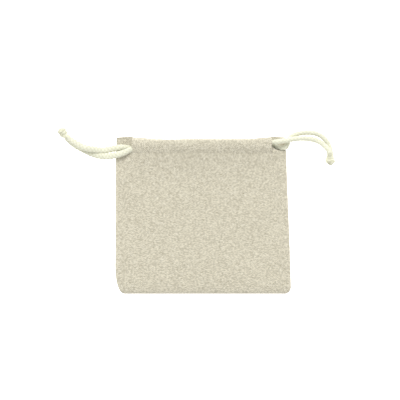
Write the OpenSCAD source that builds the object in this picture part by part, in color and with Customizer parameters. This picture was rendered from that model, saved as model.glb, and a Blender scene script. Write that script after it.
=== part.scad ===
// Drawstring gift pouch of woven linen-look cotton, lying flat on its back.
// X is the width, Y runs from the bottom seam (-Y) to the mouth (+Y), Z is up.
// The origin is under the middle of the cloth, on the face that it rests on.

/* [Pouch] */
// Width of the pouch along its bottom seam
pouch_w = 112; // [90:1:150]
// Width of the pouch across its mouth
mouth_w = 108.4; // [88:0.2:148]
// How far the mouth's middle lies to the right of the bottom's middle
mouth_shift = -1.2; // [-3:0.1:3]
// Height of the pouch from the bottom seam to the mouth
pouch_h = 100; // [80:1:140]
// Thickness of the cloth
cloth_t = 0.6; // [0.3:0.05:0.75]
// Radius of the bottom left corner
left_corner_r = 7; // [2:0.5:12]
// Radius of the bottom right corner
right_corner_r = 4; // [2:0.5:12]
// Height that the empty front stands off the back in the middle
loft = 3.8; // [2.5:0.1:8]

/* [Casing] */
// Height of the hemmed tunnel along the mouth
casing_h = 10.3; // [10:0.1:16]
// Radius of the tunnel's rounded edges
casing_edge_r = 2; // [0.8:0.1:2.3]
// Distance of the left cord slit from the left edge
left_slit_inset = 10.4; // [8:0.2:16]
// Distance of the right cord slit from the right edge
right_slit_inset = 9; // [8:0.2:16]
// Length of the tunnel's end where its inner layer is open for the cord
open_end = 14.5; // [13:0.5:20]

/* [Seams] */
// Width of the seam allowances inside the pouch
allowance_w = 7; // [4:0.5:10]
// Distance of a seam allowance from the pouch's edge
allowance_inset = 2.5; // [2:0.1:4]
// Diameter of the sewing thread
thread_d = 0.3; // [0.2:0.05:0.4]
// Length from one stitch to the next
stitch_pitch = 2.8; // [2:0.1:4]
// Length of thread that shows in one stitch
stitch_len = 2; // [1.2:0.1:2.4]
// Distance of the hem stitching below the tunnel
hem_stitch_drop = 1; // [0.6:0.1:3]

/* [Cords] */
// Diameter of the knitted cotton cord
cord_d = 3.2; // [2.4:0.1:3.4]
// Play of a cord in the tunnel, on each side
cord_play = 0.15; // [0.1:0.05:0.3]
// Distance of a cord's middle from the edge of the tunnel that it runs along
lane_inset = 2.6; // [2.5:0.1:3]
// Diameter of the knots that tie the tails together
knot_d = 6; // [4.8:0.1:7]
// Length of the left knot
left_knot_len = 6.4; // [5:0.1:12]
// Length of the right knot
right_knot_len = 6.8; // [5:0.1:12]
// Length of the cut cord ends that stick out of a knot
cut_end_len = 1.2; // [0.5:0.1:2]
// Diameter of the cut cord ends, squeezed by the knot
cut_end_d = 2.2; // [1.4:0.1:2.2]

/* [Hidden] */
// Gap between cloth that moves and cloth that stays
body_gap = 0.3;
// Gap between pieces that lie on each other
seat_gap = 0.05;
// Rise of the front cloth over the seam allowances
rim_rise = 2;
// Sharpness of the cloth's roll at the pouch's edges
rim_power = 24;
// Sharpness of the front cloth's crown from side to side
crown_power = 3;
// Columns and rows of the curved cloth sheets
panel_columns = 20;
strip_columns = 8;
sheet_rows = 18;
// Sides of a cord's tube and of a thread
cord_sides = 8;
thread_sides = 6;
round_fn = 32;
// Gap between a knot's two cut ends
cut_end_gap = 0.4;
// A cut that has to run past a face
cut_past = 1;

bottom_y = -pouch_h / 2;
mouth_y = pouch_h / 2;
hem_y = mouth_y - casing_h;
// Outer thickness of one side of the tunnel
casing_t = cord_d + 2 * cord_play + 2 * cloth_t;
front_z = casing_t + body_gap;
back_lane_z = casing_t / 2;
front_lane_z = front_z + casing_t / 2;
low_lane_y = hem_y + lane_inset;
high_lane_y = mouth_y - lane_inset - 1;
rim_z = cloth_t + body_gap;
casing_mid_y = mouth_y - casing_h / 2;

// The tails' routes run from inside the tunnel, out of the slit, to the knot.
left_front_route = [
    [-31.8, 42.3, 7.35],
    [-38, 42.3, 7.35],
    [-43.5, 42.3, 7.35],
    [-46.2, 41.5, 7.25],
    [-48.8, 40.3, 6.9],
    [-51.6, 39.3, 6.2],
    [-54.6, 38.5, 5.3],
    [-57.8, 37.9, 4.1],
    [-61, 37.6, 2.8],
    [-64.3, 37.7, 1.9],
    [-67.8, 38.3, 1.6],
    [-71.2, 39.4, 1.6],
    [-74.3, 40.9, 1.6],
    [-77.3, 42.4, 1.6],
    [-80.8, 44.3, 1.6],
    [-84.3, 46.5, 1.6],
    [-86.8, 48.7, 1.6]
];
left_back_route = [
    [-31.8, 42.3, 2.35],
    [-38, 42.3, 2.35],
    [-44.5, 42.3, 2.35],
    [-48, 43, 2.35],
    [-52, 43.3, 2.35],
    [-56, 42.9, 2.3],
    [-60, 42.1, 1.9],
    [-63.5, 41.6, 1.75],
    [-67, 41.7, 2.4],
    [-70.4, 42.2, 3.8],
    [-73.6, 42.7, 4.6],
    [-76.7, 43.6, 4.75],
    [-80.2, 45.5, 4.7],
    [-83.6, 47.7, 4.7],
    [-86.2, 49.9, 4.7]
];
right_front_route = [
    [31.8, 46.4, 7.35],
    [38, 46.4, 7.35],
    [43.5, 46.4, 7.35],
    [47, 46.7, 7.3],
    [50.5, 47.2, 6.9],
    [54, 47.8, 6.2],
    [57.5, 48.4, 5.6],
    [61, 48.9, 4.6],
    [64.5, 49.1, 3.2],
    [68, 48.9, 2.1],
    [71.5, 48.3, 1.7],
    [74.5, 47.2, 1.9],
    [77.1, 45.5, 2.8],
    [79.2, 43.4, 4],
    [80.6, 41.4, 4.7],
    [81.3, 39.4, 4.8]
];
right_back_route = [
    [31.8, 46.4, 2.35],
    [38, 46.4, 2.35],
    [43.2, 46.2, 2.35],
    [45.3, 45.1, 2.35],
    [47.1, 43.9, 2.35],
    [49.1, 43.1, 2.35],
    [51.4, 42.9, 2.35],
    [53.3, 43.5, 2.35],
    [54.4, 45, 2.35],
    [54.8, 47, 2.25],
    [55.5, 48.9, 1.95],
    [57, 50.5, 1.65],
    [59.3, 51.6, 1.6],
    [62, 52.4, 1.6],
    [65, 52.9, 1.6],
    [68.3, 53, 1.6],
    [72.4, 52.5, 1.6],
    [76.3, 50.8, 1.6],
    [79.4, 48, 1.6],
    [81.4, 44.6, 1.6],
    [82.3, 41.2, 1.6],
    [82.3, 39.2, 1.6]
];
// The knots' middles, and the headings that their tails run in on
left_knot_at = [-89.2, 51.9];
left_knot_heading = 118;
right_knot_at = [82.1, 36.4];
right_knot_heading = -93;

// ---- The pouch's outline ----

// How far a rounded bottom corner draws the edge in at height y
function corner_in(y, r) =
    let (up = y - bottom_y)
    up < r ? r - sqrt(max(0, r * r - (r - up) * (r - up))) : 0;

function along(y) = (y - bottom_y) / pouch_h;

// The straight side edges, without the corners
function left_side(y) = -pouch_w / 2 + along(y) * (mouth_shift - mouth_w / 2 + pouch_w / 2);
function right_side(y) = pouch_w / 2 + along(y) * (mouth_shift + mouth_w / 2 - pouch_w / 2);

function left_x(y) = left_side(y) + corner_in(y, left_corner_r);
function right_x(y) = right_side(y) - corner_in(y, right_corner_r);

left_slit_x = left_side(casing_mid_y) + left_slit_inset;
right_slit_x = right_side(casing_mid_y) - right_slit_inset;

// Rows of the sheets, closer together towards the bottom seam
function row_y(i) =
    let (s = i / sheet_rows)
    bottom_y + (hem_y - seat_gap - bottom_y) * (s < 0.5 ? 0.9 * s * s + 0.3 * s : 1.25 * s - 0.25);

// ---- The front cloth's height ----

function roll(a) = sqrt(max(0, 1 - pow(a, rim_power)));

// Underside of the front cloth over the point x, y
function front_under(x, y) =
    let (
        middle = (left_side(y) + right_side(y)) / 2,
        half = (right_side(y) - left_side(y)) / 2,
        across = min(1, abs(x - middle) / half),
        up = (y - bottom_y) / (hem_y - bottom_y),
        down = max(0, 1 - 2 * along(y)),
        rim = roll(across) * roll(down)
    )
    rim_z + rim_rise * rim + loft * sqrt(max(0, 1 - (1 - up) * (1 - up))) * (1 - pow(across, crown_power));

// A curved sheet between two side edges, given for each row as [left, right]
module front_sheet(edges, columns) {
    rows = len(edges) - 1;
    wide = columns + 1;
    count = (rows + 1) * wide;
    function spot(i, j, lift) =
        let (
            y = row_y(i),
            x = edges[i][0] + (edges[i][1] - edges[i][0]) * j / columns
        )
        [x, y, front_under(x, y) + lift];
    under = [for (i = [0:rows], j = [0:columns]) spot(i, j, 0)];
    over = [for (i = [0:rows], j = [0:columns]) spot(i, j, cloth_t)];
    lower_faces = [for (i = [0:rows - 1], j = [0:columns - 1], half = [0, 1])
        let (p = i * wide + j)
        half == 0 ? [p, p + 1, p + wide + 1] : [p, p + wide + 1, p + wide]];
    upper_faces = [for (f = lower_faces) [f[2] + count, f[1] + count, f[0] + count]];
    rim = concat(
        [for (j = [0:columns]) j],
        [for (i = [1:rows]) i * wide + columns],
        [for (j = [columns - 1:-1:0]) rows * wide + j],
        [for (i = [rows - 1:-1:1]) i * wide]
    );
    rim_faces = [for (k = [0:len(rim) - 1], half = [0, 1])
        let (p = rim[k], q = rim[(k + 1) % len(rim)])
        half == 0 ? [p, p + count, q + count] : [p, q + count, q]];
    polyhedron(concat(under, over), concat(lower_faces, upper_faces, rim_faces), convexity = 6);
}

// The edges of the middle of the front, and of the strips sewn to the back
function panel_left() = left_slit_x + body_gap;
function panel_right() = right_slit_x - body_gap;
middle_edges = [for (i = [0:sheet_rows]) [panel_left(), panel_right()]];
left_strip_edges = [for (i = [0:sheet_rows]) [left_x(row_y(i)), left_slit_x]];
right_strip_edges = [for (i = [0:sheet_rows]) [right_slit_x, right_x(row_y(i))]];

// ---- Shapes that repeat ----

// A rectangle in the YZ section with round corners, standing on z = 0
module round_section(h, t, r) {
    translate([0, r]) square([h, t - 2 * r]);
    translate([r, 0]) square([h - 2 * r, t]);
    for (y = [r, h - r], z = [r, t - r])
        translate([y, z]) circle(r, $fn = round_fn);
}

// One side of the tunnel from x0 to x1, standing on z = 0
module tunnel(x0, x1) {
    translate([x0, hem_y, 0])
        rotate([90, 0, 90])
            linear_extrude(x1 - x0)
                difference() {
                    round_section(casing_h, casing_t, casing_edge_r);
                    translate([cloth_t, cloth_t])
                        round_section(casing_h - 2 * cloth_t, casing_t - 2 * cloth_t,
                            max(0.2, casing_edge_r - cloth_t));
                }
}

// The inside of the tunnel from x0 to x1, between two heights
module tunnel_cut(x0, x1, z0, z1) {
    translate([x0, hem_y + cloth_t, z0])
        cube([x1 - x0, casing_h - 2 * cloth_t, z1 - z0]);
}

// A straight length of cord along X
module straight_cord(x0, x1, y, z) {
    translate([x0, y, z])
        rotate([0, 90, 0])
            cylinder(h = x1 - x0, d = cord_d, $fn = round_fn);
}

// A cord's turn from the back of the tunnel to its front; side is -1 or 1
module cord_turn(side, x, y) {
    turn_r = (front_lane_z - back_lane_z) / 2;
    translate([x, y, back_lane_z + turn_r])
        rotate([90, 0, 0])
            rotate([0, 0, side > 0 ? -90 : 90])
                rotate_extrude(angle = 180, $fn = round_fn)
                    translate([turn_r, 0])
                        circle(d = cord_d, $fn = round_fn);
}

function turn_x(side) =
    let (reach = (front_lane_z - back_lane_z) / 2 + cord_d / 2 + cord_play)
    side > 0 ? right_slit_x - reach : left_slit_x + reach;

function unit(v) = v / norm(v);

function heading(route, i) =
    let (last = len(route) - 1)
    unit(route[min(last, i + 1)] - route[max(0, i - 1)]);

// A tube swept along a route, one ring of cord_sides points at each route point
module cord_tube(route) {
    count = len(route);
    rings = [for (i = [0:count - 1], k = [0:cord_sides - 1])
        let (
            ahead = heading(route, i),
            side = unit(cross([0, 0, 1], ahead)),
            up = cross(ahead, side),
            a = 360 * (k + 0.5) / cord_sides
        )
        route[i] + cord_d / 2 * (cos(a) * side + sin(a) * up)];
    walls = [for (i = [0:count - 2], k = [0:cord_sides - 1], half = [0, 1])
        let (
            p = i * cord_sides + k,
            q = i * cord_sides + (k + 1) % cord_sides
        )
        half == 0 ? [p, q + cord_sides, q] : [p, p + cord_sides, q + cord_sides]];
    ends = [
        [for (k = [0:cord_sides - 1]) k],
        [for (k = [cord_sides - 1:-1:0]) (count - 1) * cord_sides + k]
    ];
    polyhedron(rings, concat(walls, ends), convexity = 6);
}

// A tied knot: a plump barrel with two cut cord ends
module knot(at, heading_deg, length) {
    translate([at[0], at[1], knot_d / 2])
        rotate([0, 90, heading_deg]) {
            rotate_extrude($fn = round_fn)
                polygon(concat(
                    [[0, -length / 2]],
                    [for (a = [18:18:162]) [knot_d / 2 * pow(sin(a), 0.7), -length / 2 * cos(a)]],
                    [[0, length / 2]]
                ));
            for (s = [-1, 1])
                translate([0, s * (cut_end_d + cut_end_gap) / 2, length / 2 - cut_end_len])
                    cylinder(h = 2 * cut_end_len, d = cut_end_d, $fn = round_fn);
        }
}

// One stitch of thread along X, with its middle at the origin
module stitch(length) {
    translate([-length / 2, 0, 0])
        rotate([0, 90, 0])
            cylinder(h = length, d = thread_d, $fn = thread_sides);
}

allowance_z = cloth_t + seat_gap;
allowance_t = 2 * cloth_t;
allowance_top = allowance_z + allowance_t + seat_gap + thread_d / 2;
side_allowance_y0 = bottom_y + allowance_inset + allowance_w + body_gap;
side_allowance_y1 = hem_y - body_gap;
bottom_allowance_x0 = -pouch_w / 2 + left_corner_r + allowance_inset;
bottom_allowance_x1 = pouch_w / 2 - right_corner_r - allowance_inset;
// Distance of the seam's own stitches from the allowance's outer edge
seam_line = 0.8;
// Width of the overlocked edge
overlock_w = 2;

// The allowance along one side; side is -1 or 1
module side_allowance(side) {
    y0 = side_allowance_y0;
    y1 = side_allowance_y1;
    near = allowance_inset;
    far = allowance_inset + allowance_w;
    points = side < 0
        ? [[left_side(y0) + near, y0], [left_side(y0) + far, y0],
           [left_side(y1) + far, y1], [left_side(y1) + near, y1]]
        : [[right_side(y0) - near, y0], [right_side(y1) - near, y1],
           [right_side(y1) - far, y1], [right_side(y0) - far, y0]];
    translate([0, 0, allowance_z])
        linear_extrude(allowance_t)
            polygon(points);
}

// A row of stitches on an allowance, so far in from the pouch's side edge
module side_row(side, inset, turned) {
    y0 = side_allowance_y0 + stitch_pitch / 2;
    steps = floor((side_allowance_y1 - y0) / stitch_pitch);
    for (i = [0:steps - 1]) {
        y = y0 + i * stitch_pitch;
        x = side < 0 ? left_side(y) + inset : right_side(y) - inset;
        translate([x, y, allowance_top])
            rotate([0, 0, turned])
                stitch(stitch_len);
    }
}

module bottom_row(inset, turned) {
    x0 = bottom_allowance_x0 + stitch_pitch / 2;
    steps = floor((bottom_allowance_x1 - x0) / stitch_pitch);
    for (i = [0:steps - 1])
        translate([x0 + i * stitch_pitch, bottom_y + inset, allowance_top])
            rotate([0, 0, turned])
                stitch(stitch_len);
}

// Thread bars that close the lower end of a slit
module slit_tack(x, side) {
    for (i = [0:3]) {
        y = hem_y - body_gap - 2 * thread_d * (i + 1);
        mid_x = x + side * (body_gap + stitch_len / 2);
        outer_x = mid_x + side * stitch_len / 2;
        inner_x = mid_x - side * stitch_len / 2;
        z = max(front_under(outer_x, y), front_under(inner_x, y)) + cloth_t + seat_gap + thread_d / 2;
        translate([mid_x, y, z]) stitch(stitch_len);
    }
}

// ---- Cloth ----

module back_panel() {
    rows = [for (i = [0:sheet_rows]) row_y(i)];
    color("#d7d1bc")
        linear_extrude(cloth_t)
            polygon(concat(
                [for (y = rows) [right_x(y), y]],
                [for (i = [len(rows) - 1:-1:0]) [left_x(rows[i]), rows[i]]]
            ));
}

module back_casing() {
    x0 = left_side(casing_mid_y);
    x1 = right_side(casing_mid_y);
    turn = turn_x(1) - 2 * cord_play;
    turn_left = turn_x(-1) + 2 * cord_play;
    color("#d6d0ba")
        difference() {
            tunnel(x0, x1);
            // Beyond the slits only the back layer runs on to the edges
            translate([x0 - cut_past, hem_y - cut_past, cloth_t])
                cube([left_slit_x - x0 + cut_past, casing_h + 2 * cut_past, casing_t]);
            translate([right_slit_x, hem_y - cut_past, cloth_t])
                cube([x1 - right_slit_x + cut_past, casing_h + 2 * cut_past, casing_t]);
            // The inner layer is open where the cords turn to the front
            tunnel_cut(left_slit_x - cut_past, turn_left, casing_t / 2, casing_t + cut_past);
            tunnel_cut(turn, right_slit_x + cut_past, casing_t / 2, casing_t + cut_past);
        }
}

module front_left_side() {
    color("#d7d1bc") front_sheet(left_strip_edges, strip_columns);
}

module front_right_side() {
    color("#d7d1bc") front_sheet(right_strip_edges, strip_columns);
}

module front_panel() {
    color("#d7d1bc") front_sheet(middle_edges, panel_columns);
}

module front_casing() {
    color("#d6d0ba")
        translate([0, 0, front_z])
            difference() {
                tunnel(left_slit_x, right_slit_x);
                // The inner layer is open over the tails' hidden ends
                tunnel_cut(left_slit_x - cut_past, left_slit_x + open_end, -cut_past, casing_t / 2);
                tunnel_cut(right_slit_x - open_end, right_slit_x + cut_past, -cut_past, casing_t / 2);
            }
}

module left_seam_allowance() {
    color("#cfc9b3") side_allowance(-1);
}

module right_seam_allowance() {
    color("#cfc9b3") side_allowance(1);
}

module bottom_seam_allowance() {
    color("#cfc9b3")
        translate([bottom_allowance_x0, bottom_y + allowance_inset, allowance_z])
            cube([bottom_allowance_x1 - bottom_allowance_x0, allowance_w, allowance_t]);
}

// ---- Threads ----

module left_side_stitch() {
    color("#e6e1cf") side_row(-1, allowance_inset + seam_line, 90);
}

module right_side_stitch() {
    color("#e6e1cf") side_row(1, allowance_inset + seam_line, 90);
}

module bottom_stitch() {
    color("#e6e1cf") bottom_row(allowance_inset + seam_line, 0);
}

module left_overlock() {
    color("#f0ecdd") side_row(-1, allowance_inset + allowance_w - overlock_w / 2, 0);
}

module right_overlock() {
    color("#f0ecdd") side_row(1, allowance_inset + allowance_w - overlock_w / 2, 0);
}

module bottom_overlock() {
    color("#f0ecdd") bottom_row(allowance_inset + allowance_w - overlock_w / 2, 90);
}

module back_hem_stitch() {
    x0 = left_slit_x + stitch_pitch;
    steps = floor((right_slit_x - left_slit_x) / stitch_pitch) - 1;
    color("#e6e1cf")
        for (i = [0:steps - 1])
            translate([x0 + i * stitch_pitch, hem_y - hem_stitch_drop, cloth_t + seat_gap + thread_d / 2])
                stitch(stitch_len);
}

module front_hem_stitch() {
    x0 = left_slit_x + stitch_pitch;
    steps = floor((right_slit_x - left_slit_x) / stitch_pitch) - 1;
    y = hem_y - hem_stitch_drop;
    color("#e6e1cf")
        for (i = [0:steps - 1]) {
            x = x0 + i * stitch_pitch;
            // A stitch lies on the higher of the two places under its ends
            high = max(front_under(x - stitch_pitch / 2, y), front_under(x + stitch_pitch / 2, y));
            translate([x, y, max(high, front_under(x, y)) + cloth_t + seat_gap + thread_d / 2])
                stitch(stitch_len);
        }
}

module left_slit_tack() {
    color("#e6e1cf") slit_tack(left_slit_x, -1);
}

module right_slit_tack() {
    color("#e6e1cf") slit_tack(right_slit_x, 1);
}

// ---- Cords ----

left_lead_end = left_front_route[0][0];
right_lead_end = right_front_route[0][0];

module left_cord_back_run() {
    color("#eeeedd") {
        straight_cord(left_lead_end + body_gap, turn_x(1), low_lane_y, back_lane_z);
        cord_turn(1, turn_x(1), low_lane_y);
    }
}

module right_cord_back_run() {
    color("#eeeedd") {
        straight_cord(turn_x(-1), right_lead_end - body_gap, high_lane_y, back_lane_z);
        cord_turn(-1, turn_x(-1), high_lane_y);
    }
}

module left_cord_front_run() {
    color("#eeeedd")
        straight_cord(left_lead_end + body_gap, turn_x(1) - body_gap, low_lane_y, front_lane_z);
}

module right_cord_front_run() {
    color("#eeeedd")
        straight_cord(turn_x(-1) + body_gap, right_lead_end - body_gap, high_lane_y, front_lane_z);
}

module left_front_strand() {
    color("#eeeedd") cord_tube(left_front_route);
}

module left_back_strand() {
    color("#eeeedd") cord_tube(left_back_route);
}

module left_knot() {
    color("#eeeedd") knot(left_knot_at, left_knot_heading, left_knot_len);
}

module right_front_strand() {
    color("#eeeedd") cord_tube(right_front_route);
}

module right_back_strand() {
    color("#eeeedd") cord_tube(right_back_route);
}

module right_knot() {
    color("#eeeedd") knot(right_knot_at, right_knot_heading, right_knot_len);
}

back_panel();
back_casing();
left_seam_allowance();
right_seam_allowance();
bottom_seam_allowance();
left_side_stitch();
right_side_stitch();
bottom_stitch();
left_overlock();
right_overlock();
bottom_overlock();
back_hem_stitch();
left_slit_tack();
right_slit_tack();
front_left_side();
front_right_side();
left_cord_back_run();
right_cord_back_run();
front_panel();
front_casing();
front_hem_stitch();
left_cord_front_run();
right_cord_front_run();
left_front_strand();
left_back_strand();
left_knot();
right_front_strand();
right_back_strand();
right_knot();
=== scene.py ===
"""A drawstring gift pouch of linen-look cotton: cloth, seams, knitted cords and knots."""
import math

import bpy
import numpy as np
from bpy.props import FloatProperty, FloatVectorProperty, IntProperty, PointerProperty
from mathutils import Euler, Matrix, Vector, noise


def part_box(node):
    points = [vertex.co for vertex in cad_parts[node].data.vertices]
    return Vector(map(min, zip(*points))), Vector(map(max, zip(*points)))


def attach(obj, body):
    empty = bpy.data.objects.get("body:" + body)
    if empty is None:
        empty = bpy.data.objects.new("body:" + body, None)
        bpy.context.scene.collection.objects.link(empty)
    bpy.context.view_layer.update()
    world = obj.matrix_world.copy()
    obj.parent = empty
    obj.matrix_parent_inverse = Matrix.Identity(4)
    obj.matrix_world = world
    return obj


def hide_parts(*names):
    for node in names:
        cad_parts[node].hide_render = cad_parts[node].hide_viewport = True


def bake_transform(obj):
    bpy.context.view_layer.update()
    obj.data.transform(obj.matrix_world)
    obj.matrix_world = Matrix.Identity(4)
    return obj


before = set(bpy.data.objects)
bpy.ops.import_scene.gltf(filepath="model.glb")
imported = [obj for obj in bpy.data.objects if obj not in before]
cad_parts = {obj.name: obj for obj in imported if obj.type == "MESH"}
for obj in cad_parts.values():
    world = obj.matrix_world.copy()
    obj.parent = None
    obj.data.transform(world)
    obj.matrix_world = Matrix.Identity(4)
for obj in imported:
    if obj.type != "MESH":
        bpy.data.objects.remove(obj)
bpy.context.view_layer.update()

bl_info = {
    "name": "Drawstring gift pouch",
    "version": (1, 0, 0),
    "blender": (4, 5, 0),
    "location": "3D View > Sidebar > Pouch",
    "description": "Makes the cloth, seams, cords and knots of a flat drawstring gift pouch",
    "category": "Add Mesh",
}

MM = 0.001

# Places that the frame gives
BACK_LOW, BACK_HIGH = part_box("back_panel")
TUNNEL_LOW, TUNNEL_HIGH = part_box("front_casing")
REAR_LOW, REAR_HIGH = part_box("back_casing")
BOTTOM = BACK_LOW.y - 0.5 * MM
HEM = TUNNEL_LOW.y
MOUTH = TUNNEL_HIGH.y
SLIT_LEFT, SLIT_RIGHT = TUNNEL_LOW.x, TUNNEL_HIGH.x
STITCH_LINE = HEM - 1 * MM
# Length of each tail that is still inside the tunnel
IN_TUNNEL = 13 * MM

# The tails' routes, from inside the tunnel, out of the slit, to the knot
LEFT_FRONT = [
    (-0.0318, 0.0423, 0.00735), (-0.038, 0.0423, 0.00735), (-0.0435, 0.0423, 0.00735),
    (-0.0462, 0.0415, 0.00725), (-0.0488, 0.0403, 0.0069), (-0.0516, 0.0393, 0.0062),
    (-0.0546, 0.0385, 0.0053), (-0.0578, 0.0379, 0.0041), (-0.061, 0.0376, 0.0028),
    (-0.0643, 0.0377, 0.0019), (-0.0678, 0.0383, 0.0016), (-0.0712, 0.0394, 0.0016),
    (-0.0743, 0.0409, 0.0016), (-0.0773, 0.0424, 0.0016), (-0.0808, 0.0443, 0.0016),
    (-0.0843, 0.0465, 0.0016), (-0.0868, 0.0487, 0.0016),
]
LEFT_BACK = [
    (-0.0318, 0.0423, 0.00235), (-0.038, 0.0423, 0.00235), (-0.0445, 0.0423, 0.00235),
    (-0.048, 0.043, 0.00235), (-0.052, 0.0433, 0.00235), (-0.056, 0.0429, 0.0023),
    (-0.06, 0.0421, 0.0019), (-0.0635, 0.0416, 0.00175), (-0.067, 0.0417, 0.0024),
    (-0.0704, 0.0422, 0.0038), (-0.0736, 0.0427, 0.0046), (-0.0767, 0.0436, 0.00475),
    (-0.0802, 0.0455, 0.0047), (-0.0836, 0.0477, 0.0047), (-0.0862, 0.0499, 0.0047),
]
RIGHT_FRONT = [
    (0.0318, 0.0464, 0.00735), (0.038, 0.0464, 0.00735), (0.0435, 0.0464, 0.00735),
    (0.047, 0.0467, 0.0073), (0.0505, 0.0472, 0.0069), (0.054, 0.0478, 0.0062),
    (0.0575, 0.0484, 0.0056), (0.061, 0.0489, 0.0046), (0.0645, 0.0491, 0.0032),
    (0.068, 0.0489, 0.0021), (0.0715, 0.0483, 0.0017), (0.0745, 0.0472, 0.0019),
    (0.0771, 0.0455, 0.0028), (0.0792, 0.0434, 0.004), (0.0806, 0.0414, 0.0047),
    (0.0813, 0.0394, 0.0048),
]
RIGHT_BACK = [
    (0.0318, 0.0464, 0.00235), (0.038, 0.0464, 0.00235), (0.0432, 0.0462, 0.00235),
    (0.0453, 0.0451, 0.00235), (0.0471, 0.0439, 0.00235), (0.0491, 0.0431, 0.00235),
    (0.0514, 0.0429, 0.00235), (0.0533, 0.0435, 0.00235), (0.0544, 0.045, 0.00235),
    (0.0548, 0.047, 0.00225), (0.0555, 0.0489, 0.00195), (0.057, 0.0505, 0.00165),
    (0.0593, 0.0516, 0.0016), (0.062, 0.0524, 0.0016), (0.065, 0.0529, 0.0016),
    (0.0683, 0.053, 0.0016), (0.0724, 0.0525, 0.0016), (0.0763, 0.0508, 0.0016),
    (0.0794, 0.048, 0.0016), (0.0814, 0.0446, 0.0016), (0.0823, 0.0412, 0.0016),
    (0.0823, 0.0392, 0.0016),
]
TAILS = (
    ("left_front_strand", LEFT_FRONT, "left"),
    ("left_back_strand", LEFT_BACK, "left"),
    ("right_front_strand", RIGHT_FRONT, "right"),
    ("right_back_strand", RIGHT_BACK, "right"),
)
LEFT_KNOT_HEADING = math.radians(118)
RIGHT_KNOT_HEADING = math.radians(-93)
# Distance between the points of a tail's middle line
TAIL_STEP = 0.26 * MM

# Each bottom corner's width over its height
LEFT_CORNER_SHARE, RIGHT_CORNER_SHARE = 0.33, 0.8
# How far the right edge swells past the back's: all along it, and more at the bottom
RIGHT_FULLER, RIGHT_BOTTOM_FULLER = 0.2 * MM, 0.7 * MM

KEY_PLACE, KEY_SIZE = (-0.20, 1.70, 1.80), 1.1


# ---- Settings ----


def length_setting(name, description, default, low, high):
    """A setting in millimetres."""
    return FloatProperty(
        name=name, description=description, default=default * MM, min=low * MM, max=high * MM,
        subtype="DISTANCE", unit="LENGTH",
    )


def colour_setting(name, description, default):
    return FloatVectorProperty(
        name=name, description=description, default=default, min=0, max=1, subtype="COLOR"
    )


class PouchClothSettings(bpy.types.PropertyGroup):
    thickness: length_setting(
        "Cloth thickness", "Thickness of one layer of cloth", 0.6, 0.3, 1
    )
    left_corner: length_setting(
        "Left corner", "Height of the bottom left corner's curve", 17, 1, 20
    )
    right_corner: length_setting(
        "Right corner", "Height of the bottom right corner's curve", 4.5, 1, 20
    )
    loft: length_setting(
        "Loft", "How far the empty front stands up in the middle", 0.5, 0.2, 5
    )
    hem_rise: length_setting(
        "Hem rise", "How much higher the cords in the tunnel hold the hem", 3.9, 0, 6
    )
    waves: length_setting(
        "Waves", "Height of the slack waves in the front", 0.22, 0, 1.5
    )
    mouth_sag: length_setting(
        "Mouth sag", "How far the mouth's edge sags between the slits", 1.1, 0, 1.3
    )
    pucker: length_setting(
        "Pucker", "Height of the puckers along the hem stitching", 0.16, 0, 0.6
    )
    stitch_pitch: length_setting(
        "Stitch pitch", "Length from one hem stitch to the next", 2.8, 1.5, 4
    )
    yarn_pitch: length_setting(
        "Yarn pitch", "Distance from one yarn of the weave to the next", 0.64, 0.3, 1.5
    )
    pale_yarn: colour_setting("Pale yarn", "Colour of the bleached cotton yarns", (0.680, 0.639, 0.511))
    flax_yarn: colour_setting("Flax yarn", "Colour of the unbleached yarns", (0.385, 0.353, 0.266))
    nep: colour_setting("Neps", "Colour of the dark specks of straw in the yarn", (0.25, 0.21, 0.13))


class PouchCordSettings(bpy.types.PropertyGroup):
    diameter: length_setting(
        "Cord diameter", "Diameter of the knitted cord", 3.2, 2, 5
    )
    ribs: IntProperty(
        name="Ribs", description="Yarns that run each way round the braid",
        default=4, min=2, max=8,
    )
    rib_pitch: length_setting(
        "Rib pitch", "Length of cord in which a yarn passes its neighbour", 2.4, 1, 6
    )
    flatness: FloatProperty(
        name="Flatness", description="Width of the left cord's tails over their height, where they lie",
        default=1.7, min=1, max=2, subtype="FACTOR",
    )
    rib_depth: FloatProperty(
        name="Rib depth", description="Depth of the grooves as a share of the radius",
        default=0.15, min=0, max=0.4, subtype="FACTOR",
    )
    ivory: colour_setting("Ivory cotton", "Colour of the cord's yarn", (0.70, 0.70, 0.575))
    # Painted shade: the groove colour darkens the cord deep between its yarns, where shade falls
    groove: colour_setting("Groove", "Colour deep between the cord's yarns", (0.58, 0.57, 0.40))
    thread: colour_setting("Thread", "Colour of the sewing thread", (0.62, 0.59, 0.47))


class PouchStageSettings(bpy.types.PropertyGroup):
    floor: colour_setting("Floor", "Colour of the floor", (0.93, 0.93, 0.93))
    floor_glow: FloatProperty(
        name="Floor glow", description="Light that comes up through the floor, as on a light table",
        default=1.0, min=0, max=2,
    )
    picture_width: FloatProperty(
        name="Picture width", description="Width of floor that the camera sees",
        default=0.256, min=0.1, max=1, subtype="DISTANCE", unit="LENGTH",
    )
    aim: FloatVectorProperty(
        name="Aim", description="Point that the camera looks down on",
        default=(-0.0016, 0.0096, 0.005), size=3, subtype="TRANSLATION", unit="LENGTH",
    )
    lens: FloatProperty(
        name="Lens", description="Focal length in millimetres", default=100, min=20, max=300,
    )
    key_power: FloatProperty(
        name="Key light", description="Power of the large light beyond the mouth",
        default=48, min=0, max=200, unit="POWER",
    )
    sky: FloatProperty(
        name="Sky", description="Strength of the even light all round", default=0.92, min=0, max=3,
    )


# ---- Shader groups ----


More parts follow.
